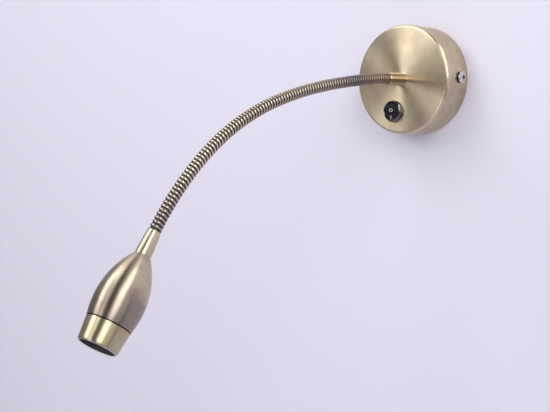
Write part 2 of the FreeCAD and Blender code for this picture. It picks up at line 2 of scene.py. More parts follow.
# # A bedside reading lamp on a wall
# The lamp is a round brass canopy with a rocker switch, a ribbed gooseneck and a small spot head.
# The CAD model already holds every size, so this file only dresses it: it gives each part its finish, rebuilds the
# hose as a wound wire, and sets up the wall, the light and the camera.

# %% Load the imported lamp
import bpy
import json
import math
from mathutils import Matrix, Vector


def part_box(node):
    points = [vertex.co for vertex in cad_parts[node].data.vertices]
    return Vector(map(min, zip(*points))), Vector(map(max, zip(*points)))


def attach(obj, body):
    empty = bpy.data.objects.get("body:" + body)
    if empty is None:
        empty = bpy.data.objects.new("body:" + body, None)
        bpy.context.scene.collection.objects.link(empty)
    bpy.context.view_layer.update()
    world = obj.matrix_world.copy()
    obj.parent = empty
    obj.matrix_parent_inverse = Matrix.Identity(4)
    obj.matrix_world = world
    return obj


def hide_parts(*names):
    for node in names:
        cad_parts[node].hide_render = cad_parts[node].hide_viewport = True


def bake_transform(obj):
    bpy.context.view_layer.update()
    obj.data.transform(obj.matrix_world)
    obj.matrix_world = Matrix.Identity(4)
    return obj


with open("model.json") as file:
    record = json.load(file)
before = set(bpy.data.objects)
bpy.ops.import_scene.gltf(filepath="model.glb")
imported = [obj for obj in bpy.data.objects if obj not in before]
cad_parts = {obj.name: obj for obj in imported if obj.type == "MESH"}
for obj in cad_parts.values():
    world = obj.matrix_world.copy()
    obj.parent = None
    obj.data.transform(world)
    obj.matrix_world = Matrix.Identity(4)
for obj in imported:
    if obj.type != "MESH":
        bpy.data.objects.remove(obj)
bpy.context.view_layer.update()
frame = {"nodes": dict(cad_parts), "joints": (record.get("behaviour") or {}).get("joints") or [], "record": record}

cad = frame["nodes"]
X_AXIS = Vector((1, 0, 0))
Z_AXIS = Vector((0, 0, 1))

# %% [markdown]
# ## The camera
# A photograph can be matched by a camera with the same place, aim and focal length. These values
# come from fitting the two rims of the canopy, whose shape is known, to their ellipses in the
# photograph. The focal length is in pixels of a 550 pixel wide picture.

# %% Camera
picture_width = 550
focal_pixels = 999.19
camera_place = Vector((0.42921, -0.63616, -0.02792))
camera_azimuth = math.radians(42.2327)
camera_elevation = math.radians(5.1005)
camera_roll = math.radians(0.3825)

backwards = Vector((math.sin(camera_azimuth) * math.cos(camera_elevation),
                    -math.cos(camera_azimuth) * math.cos(camera_elevation),
                    math.sin(camera_elevation)))
level = Z_AXIS.cross(backwards).normalized()
upright = backwards.cross(level)
right = level * math.cos(camera_roll) + upright * math.sin(camera_roll)
up = upright * math.cos(camera_roll) - level * math.sin(camera_roll)

camera_data = bpy.data.cameras.new("photo_camera")
camera_data.sensor_width = 36.0
camera_data.lens = focal_pixels / picture_width * camera_data.sensor_width
camera_data.clip_start = 0.01
camera_data.clip_end = 20.0
camera = bpy.data.objects.new("photo_camera", camera_data)
bpy.context.scene.collection.objects.link(camera)
for row in range(3):
    camera.matrix_world[row][0] = right[row]
    camera.matrix_world[row][1] = up[row]
    camera.matrix_world[row][2] = backwards[row]
    camera.matrix_world[row][3] = camera_place[row]
bpy.context.scene.camera = camera
print("lens: %.1f mm" % camera_data.lens)

# %% [markdown]
# ## Wall, floor and light
# The lamp hangs on a pale wall with a faint lilac tint. Both the wall and the floor are plain
# planes that only show from their front, so that the lamp can also be seen from behind. They catch
# its shadow but cast none, so that no light is cut off by them.
# Brass shows its shape by what it mirrors. Soft lamps stand to the left and to the right, which
# gives the paired highlights along the hose and the head, and a dim room, darkest between the two
# sides, gives the dark stripe between them.


# %% Small helpers for node trees
def add_node(tree, kind, inputs=None, **settings):
    """Adds a node, sets its options, and fills its inputs with values or with other sockets."""
    node = tree.nodes.new(kind)
    for name, value in settings.items():
        setattr(node, name, value)
    for name, value in (inputs or {}).items():
        if isinstance(value, bpy.types.NodeSocket):
            tree.links.new(value, node.inputs[name])
        else:
            node.inputs[name].default_value = value
    return node


def math_node(tree, operation, *values):
    """The result of a sum on numbers or sockets."""
    inputs = {index: value for index, value in enumerate(values)}
    return add_node(tree, "ShaderNodeMath", inputs, operation=operation).outputs[0]


def vector_node(tree, operation, *values, result="Vector"):
    """The result of a sum on vectors."""
    inputs = {index: value for index, value in enumerate(values)}
    return add_node(tree, "ShaderNodeVectorMath", inputs, operation=operation).outputs[result]


def scaled(tree, vector, factor):
    """A vector made longer or shorter by a factor."""
    inputs = {0: vector, "Scale": factor}
    return add_node(tree, "ShaderNodeVectorMath", inputs, operation="SCALE").outputs[0]


def remap(tree, value, low, high, to_low=0.0, to_high=1.0, smooth=False):
    """A value carried from one range over to another, and held inside it."""
    inputs = {"Value": value, "From Min": low, "From Max": high,
              "To Min": to_low, "To Max": to_high}
    kind = "SMOOTHSTEP" if smooth else "LINEAR"
    return add_node(tree, "ShaderNodeMapRange", inputs, interpolation_type=kind).outputs[0]


def noise(tree, place, scale, detail=4.0, roughness=0.6):
    """A noise from 0 to 1, with this many cells to each unit of the place."""
    inputs = {"Vector": place, "Scale": scale, "Detail": detail, "Roughness": roughness}
    return add_node(tree, "ShaderNodeTexNoise", inputs).outputs[0]


def mixed_colour(tree, share, first, second):
    """A colour on the way from the first to the second, each four numbers or a socket."""
    inputs = {0: share, 6: first, 7: second}
    return add_node(tree, "ShaderNodeMix", inputs, data_type="RGBA").outputs[2]


def empty_material(name):
    """A material whose node tree is still empty."""
    material = bpy.data.materials.new(name)
    material.use_nodes = True
    material.node_tree.nodes.clear()
    return material


# %% Wall and floor
wall_colour = (0.80, 0.775, 0.885, 1)
floor_colour = (0.74, 0.73, 0.78, 1)
stage_half = 3.0                    # half the width of the wall and of the floor
wall_gap = 0.0004                   # between the wall and the back of the lamp
floor_height = -1.15                # the lamp hangs this far above the floor, as beside a bed


def stage_plane(name, corners, colour):
    """A plain sheet that only shows from the side its normal points to."""
    mesh = bpy.data.meshes.new(name)
    mesh.from_pydata(corners, [], [(0, 1, 2, 3)])
    plane = bpy.data.objects.new(name, mesh)
    bpy.context.scene.collection.objects.link(plane)
    material = empty_material(name)
    tree = material.node_tree
    paint = add_node(tree, "ShaderNodeBsdfDiffuse", {"Color": colour})
    clear = add_node(tree, "ShaderNodeBsdfTransparent")
    from_behind = add_node(tree, "ShaderNodeNewGeometry").outputs["Backfacing"]
    shadow_ray = add_node(tree, "ShaderNodeLightPath").outputs["Is Shadow Ray"]
    hidden = math_node(tree, "MAXIMUM", from_behind, shadow_ray)
    surface = add_node(tree, "ShaderNodeMixShader",
                       {0: hidden, 1: paint.outputs[0], 2: clear.outputs[0]})
    add_node(tree, "ShaderNodeOutputMaterial", {"Surface": surface.outputs[0]})
    mesh.materials.append(material)


square = [(a * stage_half, b * stage_half) for a, b in ((-1, -1), (1, -1), (1, 1), (-1, 1))]
stage_plane("wall", [(x, wall_gap, z) for x, z in square], wall_colour)
stage_plane("floor", [(x, y, floor_height) for x, y in square], floor_colour)
print("the lamp hangs %.2f m above the floor" % -floor_height)

# %% Soft lamps
subject = Vector((0, -0.15, -0.05))         # the middle of the wall lamp, which they all face


def soft_lamp(name, azimuth, elevation, distance, width, height, power):
    """A rectangular soft lamp that faces the lamp on the wall, placed as a camera would be."""
    a, e = math.radians(azimuth), math.radians(elevation)
    away = Vector((math.sin(a) * math.cos(e), -math.cos(a) * math.cos(e), math.sin(e)))
    data = bpy.data.lights.new(name, "AREA")
    data.shape = "RECTANGLE"
    data.size = width
    data.size_y = height
    data.energy = power
    lamp = bpy.data.objects.new(name, data)
    bpy.context.scene.collection.objects.link(lamp)
    lamp.location = subject + away * distance
    lamp.rotation_mode = "QUATERNION"
    lamp.rotation_quaternion = away.to_track_quat("Z", "Y")


# Each has its azimuth and elevation in degrees, its distance, width and height in metres, and its
# power in watts. The last one stands behind the wall, for views of the lamp's back.
soft_lamp("left_box", -50, 43, 1.3, 0.42, 0.62, 3.0)
soft_lamp("left_top", -32, 60, 1.3, 0.60, 0.42, 2.4)
soft_lamp("left_strip", -31, 24, 1.3, 0.50, 0.40, 2.75)
soft_lamp("middle_strip", -5, 20, 1.3, 0.24, 0.34, 0.9)
soft_lamp("low_front", -10, -10, 1.3, 0.50, 0.40, 2.1)
soft_lamp("right_box", 50, 24, 1.3, 0.56, 0.80, 6.6)
soft_lamp("right_side", 76, 10, 1.3, 0.60, 0.90, 1.4)
soft_lamp("right_top", 80, 51, 2.2, 0.85, 0.64, 8.6)
soft_lamp("back_fill", 180, 20, 1.6, 1.6, 1.6, 3.5)

# %% The room
room_colour = (0.80, 0.785, 0.83, 1)
room_low, room_high = 0.18, 0.50          # its brightness near the floor and near the ceiling
room_bottom, room_top = -0.45, 0.55       # heights of the direction where that change lies
dark_azimuth = math.radians(20)           # the middle of the dark gap between the lamps
dark_half, dark_edge = 0.06, 0.20         # sines of the angles beside it where it fades and ends
dark_share = 0.22                         # how much of the room's light is left in it

world = bpy.data.worlds.new("room")
bpy.context.scene.world = world
world.use_nodes = True
room_tree = world.node_tree
room_tree.nodes.clear()
direction = add_node(room_tree, "ShaderNodeTexCoord").outputs["Generated"]
height = add_node(room_tree, "ShaderNodeSeparateXYZ", {0: direction}).outputs["Z"]
strength = remap(room_tree, height, room_bottom, room_top, room_low, room_high, smooth=True)
gap_side = (math.cos(dark_azimuth), math.sin(dark_azimuth), 0)
sideways = vector_node(room_tree, "DOT_PRODUCT", direction, gap_side, result="Value")
beside = math_node(room_tree, "ABSOLUTE", sideways)
light_share = remap(room_tree, beside, dark_half, dark_edge, dark_share, 1.0, smooth=True)
strength = math_node(room_tree, "MULTIPLY", strength, light_share)
room = add_node(room_tree, "ShaderNodeBackground", {"Color": room_colour, "Strength": strength})
add_node(room_tree, "ShaderNodeOutputWorld", {"Surface": room.outputs[0]})
bpy.context.scene.view_settings.view_transform = "Standard"

# %% [markdown]
# ## The route of the hose
# The hose bends in the plane x = 0. Each of its eight spans is an arc that runs on smoothly from
# the one before, so its length and the droop at its ends give it. The joints of the CAD model
# stand where two spans meet, which is a check on the sum.

# %% Hose route
pitch = 0.0026
span_turns = (5, 14, 14, 14, 14, 14, 14, 7)
droop_degrees = (0.0, 4.0, 7.0, 11.0, 17.5, 28.0, 40.0, 50.0, 55.5)
droops = [math.radians(d) for d in droop_degrees]
span_lengths = [turns * pitch for turns in span_turns]
distances = [sum(span_lengths[:k]) for k in range(len(span_lengths) + 1)]
hose_length = distances[-1]


def towards(droop):
    """The direction of a hose that points this far below level."""
    return Vector((0, -math.cos(droop), -math.sin(droop)))


def along_span(start, k, distance):
    """The point and droop at a distance into span k, which starts at a point."""
    radius = span_lengths[k] / (droops[k + 1] - droops[k])
    droop = droops[k] + distance / radius
    step = Vector((0, math.sin(droops[k]) - math.sin(droop), math.cos(droop) - math.cos(droops[k])))
    return start + step * radius, droop


ferrule_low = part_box("base_ferrule")[0]
stations = [Vector((0, ferrule_low.y, 0))]
for k, length in enumerate(span_lengths):
    stations.append(along_span(stations[k], k, length)[0])


def hose_place(distance):
    """The point and droop of the hose's middle line at a distance from the base ferrule."""
    if distance <= 0:
        return stations[0] - towards(0) * -distance, 0.0
    if distance >= hose_length:
        return stations[-1] + towards(droops[-1]) * (distance - hose_length), droops[-1]
    k = max(n for n in range(len(span_lengths)) if distances[n] <= distance)
    return along_span(stations[k], k, distance - distances[k])


neck_joints = [j for j in frame["joints"] if j["name"].startswith("neck_")]
for station, joint in zip(stations[1:], neck_joints):
    gap = (station - Vector(joint["pos_m"])).length
    print("%s: %.3f mm from the hose's middle line" % (joint["name"], gap * 1000))

head_start = stations[-1]
head_axis = towards(droops[-1])
canopy_centre = Vector((0, 0, 0))
canopy_axis = Vector((0, -1, 0))

# %% [markdown]
# ## Brushed antique brass
# The canopy and the head were turned and brushed on a lathe, so fine scratches run round their
# axis. Light spreads across such scratches, which makes the bright wedges on the flat face. A
# shader gets this from an anisotropic reflection whose tangent follows the scratches. The same
# distance from the axis also drives a noise, for scratches that can be seen, and a broad noise
# makes the brown of the ageing uneven.


# %% Brushed brass
scratch_lines = 9000.0                      # cells of the noise per metre across the scratches
scratch_turns = 1.2                         # and per radian along them, so that each runs far round
ageing_cells = 70.0                         # broad patches per metre
scratch_share, ageing_share = 0.25, 0.75    # what the two noises count in the shade
dark_shade, bright_shade = 0.25, 0.72       # shades with the dark and with the bright colour alone
scratch_low, scratch_high = 0.2, 0.8        # scratches that are roughest and glossiest
rougher, glossier = 0.05, 0.04              # how far they change the roughness
scratch_relief, scratch_depth = 0.05, 0.00002
across_scratches = 0.25                     # a quarter turn lays the streak of light across them


def turned_brass(name, centre, axis, bright, dark, roughness, spread, darkening=None, bands=()):
    """Brass brushed round an axis. darkening is (start, end, amount), which darkens it from start to end along the
    axis; on the head this is patina together with painted shade. Each band is (start, end, colour), such as a
    blackened joint, or painted shade on the side of a screw head."""
    material = empty_material(name)
    tree = material.node_tree
    place = add_node(tree, "ShaderNodeTexCoord").outputs["Object"]
    offset = vector_node(tree, "SUBTRACT", place, centre)
    along = vector_node(tree, "DOT_PRODUCT", offset, axis, result="Value")
    outward = vector_node(tree, "SUBTRACT", offset, scaled(tree, axis, along))
    radius = vector_node(tree, "LENGTH", outward, result="Value")

    radius_lines = math_node(tree, "MULTIPLY", radius, scratch_lines)
    axis_lines = math_node(tree, "MULTIPLY", along, scratch_lines)
    line_place = add_node(tree, "ShaderNodeCombineXYZ",
                          {"X": radius_lines, "Y": axis_lines}).outputs[0]
    round_place = scaled(tree, vector_node(tree, "NORMALIZE", outward), scratch_turns)
    scratches = noise(tree, vector_node(tree, "ADD", line_place, round_place), 1.0, 6.0, 0.7)
    aged = math_node(tree, "MULTIPLY", noise(tree, place, ageing_cells), ageing_share)
    shade = math_node(tree, "MULTIPLY_ADD", scratches, scratch_share, aged)
    # The darkening along the axis: on the head it is partly patina and partly painted shade.
    if darkening:
        start, end, amount = darkening
        darker = remap(tree, along, start, end, 0.0, amount, smooth=True)
        shade = math_node(tree, "SUBTRACT", shade, darker)
    brightness = remap(tree, shade, dark_shade, bright_shade)
    colour = mixed_colour(tree, brightness, (*dark, 1), (*bright, 1))
    for start, end, band_colour in bands:
        after = math_node(tree, "GREATER_THAN", along, start)
        before = math_node(tree, "LESS_THAN", along, end)
        inside = math_node(tree, "MULTIPLY", after, before)
        colour = mixed_colour(tree, inside, colour, (*band_colour, 1))
    gloss = remap(tree, scratches, scratch_low, scratch_high,
                  roughness + rougher, roughness - glossier)
    relief = add_node(tree, "ShaderNodeBump",
                      {"Strength": scratch_relief, "Distance": scratch_depth, "Height": scratches})
    round_way = vector_node(tree, "CROSS_PRODUCT", axis, offset)
    tangent = add_node(tree, "ShaderNodeVectorTransform", {"Vector": round_way},
                       vector_type="VECTOR", convert_from="OBJECT", convert_to="WORLD").outputs[0]
    metal = add_node(tree, "ShaderNodeBsdfPrincipled",
                     {"Base Color": colour, "Metallic": 1.0, "Roughness": gloss,
                      "Anisotropic": spread, "Anisotropic Rotation": across_scratches,
                      "Normal": relief.outputs[0], "Tangent": tangent})
    add_node(tree, "ShaderNodeOutputMaterial", {"Surface": metal.outputs[0]})
    return material


# %% The brushed pieces
# Black for the dark joints of the head, and for painted shade on the screw heads.
joint_and_shade_black = (0.02, 0.014, 0.010)
lip_grey = (0.52, 0.49, 0.49)
side_browning = (0.0260, 0.0215, 0.14)      # the canopy's side, in metres from the wall
# The head darkens towards the ring: partly patina, partly painted shade that dims the highlights low on the head.
head_patina_and_shade = (0.030, 0.060, 0.45)        # towards the ring, in metres from the hose's end
shell_joint = (0.0586, 0.0594, joint_and_shade_black)
ring_joint = (0.0500, 0.05935, joint_and_shade_black)
ring_lip = (0.0724, 0.0740, lip_grey)
# Painted shade: the side of each screw head is coloured black for the dark crescent beside it.
screw_painted_shade = [(0.0395, 0.0412, joint_and_shade_black), (-0.0412, -0.0395, joint_and_shade_black)]

canopy_brass = turned_brass("canopy_brass", canopy_centre, canopy_axis, (0.79, 0.67, 0.47),
                            (0.50, 0.41, 0.29), 0.29, 0.90, darkening=side_browning)
head_brass = turned_brass("head_brass", head_start, head_axis, (0.68, 0.58, 0.39),
                          (0.31, 0.255, 0.21), 0.31, 0.85, darkening=head_patina_and_shade,
                          bands=[shell_joint])
ring_brass = turned_brass("ring_brass", head_start, head_axis, (0.55, 0.47, 0.305),
                          (0.37, 0.305, 0.185), 0.31, 0.80, bands=[ring_joint, ring_lip])
ferrule_brass = turned_brass("ferrule_brass", head_start, head_axis, (0.66, 0.57, 0.41),
                             (0.44, 0.36, 0.23), 0.30, 0.60)
collar_brass = turned_brass("collar_brass", canopy_centre, canopy_axis, (0.60, 0.51, 0.36),
                            (0.38, 0.315, 0.215), 0.25, 0.50)
screw_nickel = turned_brass("screw_nickel", canopy_centre, X_AXIS, (0.68, 0.66, 0.65),
                            (0.60, 0.58, 0.56), 0.24, 0.30, bands=screw_painted_shade)
brushed = (canopy_brass, head_brass, ring_brass, ferrule_brass, collar_brass, screw_nickel)
print("brushed finishes:", [material.name for material in brushed])

# %% [markdown]
# ## Plain finishes
# The other finishes are variations on one recipe: a base colour and a gloss, each made a little
# uneven by a noise, and a faint relief from the same noise, because no moulded, drawn or plated
# surface is perfectly even.

# %% Plain finishes
gloss_change = 0.2                  # share of the roughness that the grain takes off or adds
grain_depth = 0.00005


def plain_finish(name, colour, roughness, metallic=0.0, grain=900.0, relief=0.05, uneven=0.12,
                 **sockets):
    """A moulded, plated or drawn surface with fine grain."""
    material = empty_material(name)
    tree = material.node_tree
    speckle = noise(tree, add_node(tree, "ShaderNodeTexCoord").outputs["Object"], grain)
    dark = [c * (1 - uneven) for c in colour]
    bright = [min(1.0, c * (1 + uneven)) for c in colour]
    paint = mixed_colour(tree, speckle, (*dark, 1), (*bright, 1))
    gloss = remap(tree, speckle, 0.0, 1.0,
                  roughness * (1 - gloss_change), roughness * (1 + gloss_change))
    bumps = add_node(tree, "ShaderNodeBump", {"Strength": relief, "Distance": grain_depth,
                                              "Height": speckle})
    inputs = {"Base Color": paint, "Roughness": gloss, "Metallic": metallic,
              "Normal": bumps.outputs[0]}
    inputs.update({socket.replace("_", " "): value for socket, value in sockets.items()})
    surface = add_node(tree, "ShaderNodeBsdfPrincipled", inputs)
    add_node(tree, "ShaderNodeOutputMaterial", {"Surface": surface.outputs[0]})
    return material


# Each has its colour and roughness, how metallic it is, its grain in cells per metre, the strength
# of its relief and how uneven its colour is.
plain_looks = {
    "zinc_steel": ((0.62, 0.63, 0.65), 0.38, 1.0, 500.0, 0.2),
    "switch_chrome": ((0.16, 0.155, 0.16), 0.14, 1.0, 1500.0, 0.02, 0.03),
    "terminal_metal": ((0.72, 0.62, 0.38), 0.30, 1.0),
    "black_gloss": ((0.012, 0.012, 0.013), 0.13, 0.0, 1200.0, 0.02),
    "black_plastic": ((0.02, 0.02, 0.02), 0.45, 0.0, 2500.0, 0.2),
    "white_plastic": ((0.80, 0.79, 0.75), 0.42, 0.0, 1800.0, 0.12, 0.04),
    "foam": ((0.22, 0.22, 0.23), 0.9, 0.0, 1800.0, 0.8, 0.3),
    "rubber": ((0.03, 0.03, 0.03), 0.6, 0.0, 1500.0, 0.2),
    "brown_insulation": ((0.20, 0.09, 0.04), 0.35, 0.0, 800.0, 0.05),
    "blue_insulation": ((0.05, 0.14, 0.45), 0.35, 0.0, 800.0, 0.05),
    "green_insulation": ((0.20, 0.42, 0.07), 0.35, 0.0, 800.0, 0.05),
    "white_insulation": ((0.75, 0.75, 0.73), 0.40, 0.0, 800.0, 0.05, 0.05),
    "sink_aluminium": ((0.74, 0.75, 0.76), 0.32, 1.0, 600.0, 0.15),
    "board_white": ((0.84, 0.84, 0.82), 0.35, 0.0, 1000.0, 0.05, 0.04),
    "led_phosphor": ((0.86, 0.72, 0.22), 0.35, 0.0, 3000.0, 0.2),
    "black_anodised": ((0.13, 0.12, 0.13), 0.30, 0.3, 1400.0, 0.05),
}
finishes = {name: plain_finish(name, *look) for name, look in plain_looks.items()}
finishes["clear_lens"] = plain_finish("clear_lens", (0.93, 0.95, 0.96), 0.05, 0.0, 900.0, 0.01,
                                      0.02, Transmission_Weight=1.0, IOR=1.49)
finishes["canopy_brass"] = canopy_brass
finishes["head_brass"] = head_brass
finishes["ring_brass"] = ring_brass
finishes["nickel"] = screw_nickel


# %% Dress the CAD pieces
def dress(node, material):
    """Gives a CAD piece its finish."""
    for slot in node.material_slots:
        slot.material = material


for part in frame["record"]["subparts"]:
    if part["material_slot"] in finishes:
        dress(cad[part["node"]], finishes[part["material_slot"]])
dress(cad["head_ferrule"], ferrule_brass)
dress(cad["base_ferrule"], collar_brass)
print("finishes:", sorted(finishes))

# %% [markdown]
# ## The marks on the switch
# A moulded rocker carries an O and an I in pale ink. Its face is hollow, so each mark is a thin
# plate whose points are laid on that hollow: part of a drum that lies along x, tilted about the
# pin of the rocker, because the lamp is shown with its O half standing out.

# %% The rocker's hollow face
switch_x, switch_z = -0.0064, -0.0231
pin_depth = 0.0265                  # how far the pin stands in front of the wall
valley_depth = 0.0280               # and the middle of the hollow, when the rocker is level
hollow_radius = 0.0185
rocker_tilt = math.radians(10)
ink_rise = 0.00004


def on_rocker(x, y, rise):
    """The place of a point of the rocker's face, x to the right and y up from its middle."""
    out = valley_depth - pin_depth + hollow_radius - math.sqrt(hollow_radius ** 2 - y ** 2) + rise
    high = y * math.cos(rocker_tilt) - out * math.sin(rocker_tilt)
    deep = y * math.sin(rocker_tilt) + out * math.cos(rocker_tilt)
    return Vector((switch_x + x, -pin_depth - deep, switch_z + high))


def ink_mark(name, left_edge, right_edge, closed):
    """A thin plate between two edges of the same number of points, laid on the rocker."""
    count = len(left_edge)
    points = []
    for rise in (ink_rise, -ink_rise):
        for edge in (left_edge, right_edge):
            points += [on_rocker(x, y, rise) for x, y in edge]
    faces = []
    for k in range(count if closed else count - 1):
        n = (k + 1) % count
        top_left, top_right, low_left, low_right = 0, count, 2 * count, 3 * count
        faces.append((top_left + k, top_left + n, top_right + n, top_right + k))
        faces.append((low_left + k, low_right + k, low_right + n, low_left + n))
        faces.append((top_left + k, low_left + k, low_left + n, top_left + n))
        faces.append((top_right + k, top_right + n, low_right + n, low_right + k))
    if not closed:
        last = count - 1
        faces.append((0, count, 3 * count, 2 * count))
        faces.append((last, 2 * count + last, 3 * count + last, count + last))
    mesh = bpy.data.meshes.new(name)
    mesh.from_pydata(points, [], faces)
    piece = bpy.data.objects.new(name, mesh)
    bpy.context.scene.collection.objects.link(piece)
    mesh.materials.append(finishes["mark_ink"])
    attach(piece, "rocker")
    return piece


def oval(x, y, width, height, count=48):
    """Points round an oval."""
    turns = [math.tau * k / count for k in range(count)]
    return [(x + width / 2 * math.cos(t), y + height / 2 * math.sin(t)) for t in turns]


# %% O and I
finishes["mark_ink"] = plain_finish("mark_ink", (0.62, 0.61, 0.62), 0.5, 0.0, 4000.0, 0.1, 0.15)
stroke = 0.00042
o_x, o_y, o_width, o_height = -0.0011, 0.0009, 0.0031, 0.0026
i_x, i_y, i_width, i_height = -0.0013, -0.0041, 0.0006, 0.0022
ink_mark("mark_o", oval(o_x, o_y, o_width, o_height),
         oval(o_x, o_y, o_width - 2 * stroke, o_height - 2 * stroke), True)
i_steps = 8                         # so that its long edges follow the hollow
rows = [i_y + i_height * (k / i_steps - 0.5) for k in range(i_steps + 1)]
i_left, i_right = i_x - i_width / 2, i_x + i_width / 2
ink_mark("mark_i", [(i_left, y) for y in rows], [(i_right, y) for y in rows], False)

# %% [markdown]
# ## The ribbed hose
# A gooseneck is a round wire wound into a spring, with a second wire pressed into its groove. The round wire shows
# as shiny ribs and the groove between them as a dark line. Geometry Nodes wind the wire along the middle line:
# they resample it, move each point round it by an angle that grows with the distance, and sweep a circle along the
# result. They also store how far along the hose each point lies and how far out, so that the finish can darken the
# flanks almost to black, with brown patina and painted shade in the grooves, and change the tone of the crests
# from the wall to the head, which is partly the brass's own tone and partly painted light and shade along the
# hose. Inside the wire runs the dark core, a tube that also stands for the second wire, and inside that the two
# leads of the lamp. Each is made in seven lengths, one over each joint, in place of the hidden CAD pieces of the
# hose.

# %% Hose finishes
# These crest colours along the hose are partly the brass's own tone and partly painted light and shade, brighter
# and darker where the hose catches more or less light.
crest_tones_and_light = ((0.000, (0.33, 0.22, 0.15)),        # distance along the hose, colour of its crests
               (0.012, (0.40, 0.30, 0.21)),
               (0.038, (0.22, 0.19, 0.18)),
               (0.070, (0.44, 0.38, 0.30)),
               (0.150, (0.52, 0.45, 0.34)),
               (0.200, (0.70, 0.60, 0.46)),
               (0.250, (0.36, 0.33, 0.31)))
tone_end = crest_tones_and_light[-1][0]
# The flank colour is partly brown patina and partly painted shade in the grooves.
flank_patina_and_shade = (0.050, 0.030, 0.022)
wear_cells = 300.0                          # patches of wear per metre
wear_share = 0.30                           # how far the wear shifts the edge of the crests
flank_top, crest_start = 0.30, 0.78         # heights on the wire, 0 in the groove and 1 outermost
flank_roughness, crest_roughness = 0.50, 0.24
wear_relief, wear_depth = 0.08, 0.00003


def hose_wire_finish():
    """Brass wire whose flanks are darkened almost to black, partly brown patina and partly painted shade in the
    grooves, and whose crests change tone along the hose, where a wear noise moves their edge.
    """
    material = empty_material("hose_brass")
    tree = material.node_tree
    place = add_node(tree, "ShaderNodeTexCoord").outputs["Object"]
    wear = noise(tree, place, wear_cells)
    crest = add_node(tree, "ShaderNodeAttribute", attribute_name="crest").outputs["Fac"]
    # Where the wire sinks towards the groove its colour goes over to the flank colour: patina and painted shade.
    lowered = math_node(tree, "SUBTRACT", crest, wear_share / 2)
    height_with_wear = math_node(tree, "MULTIPLY_ADD", wear, wear_share, lowered)
    bright = remap(tree, height_with_wear, flank_top, crest_start, smooth=True)
    distance = add_node(tree, "ShaderNodeAttribute", attribute_name="distance").outputs["Fac"]
    reached = math_node(tree, "DIVIDE", distance, tone_end)
    tones = add_node(tree, "ShaderNodeValToRGB", {"Fac": reached})
    stops = tones.color_ramp.elements              # a new ramp already has a stop at each end
    for reach, tone in crest_tones_and_light[1:-1]:
        stops.new(reach / tone_end)
    for stop, (reach, tone) in zip(stops, crest_tones_and_light):
        stop.color = (*tone, 1)
    colour = mixed_colour(tree, bright, (*flank_patina_and_shade, 1), tones.outputs["Color"])
    gloss = remap(tree, bright, 0.0, 1.0, flank_roughness, crest_roughness)
    relief = add_node(tree, "ShaderNodeBump", {"Strength": wear_relief, "Distance": wear_depth,
                                               "Height": wear})
    metal = add_node(tree, "ShaderNodeBsdfPrincipled",
                     {"Base Color": colour, "Metallic": 1.0, "Roughness": gloss,
                      "Normal": relief.outputs[0]})
    add_node(tree, "ShaderNodeOutputMaterial", {"Surface": metal.outputs[0]})
    return material


finishes["hose_brass"] = hose_wire_finish()
finishes["hose_core_steel"] = plain_finish("hose_core_steel", (0.045, 0.035, 0.028), 0.5, 0.6,
                                           700.0, 0.1)
print("hose tones:", len(crest_tones_and_light), "over %.0f mm" % (tone_end * 1000))

# %% Hose winding tree
wire_radius = 0.0009
wire_sides = 16
hose_radius = 0.0039
groove_radius = 0.0033              # the bottom of the groove, where the core shows


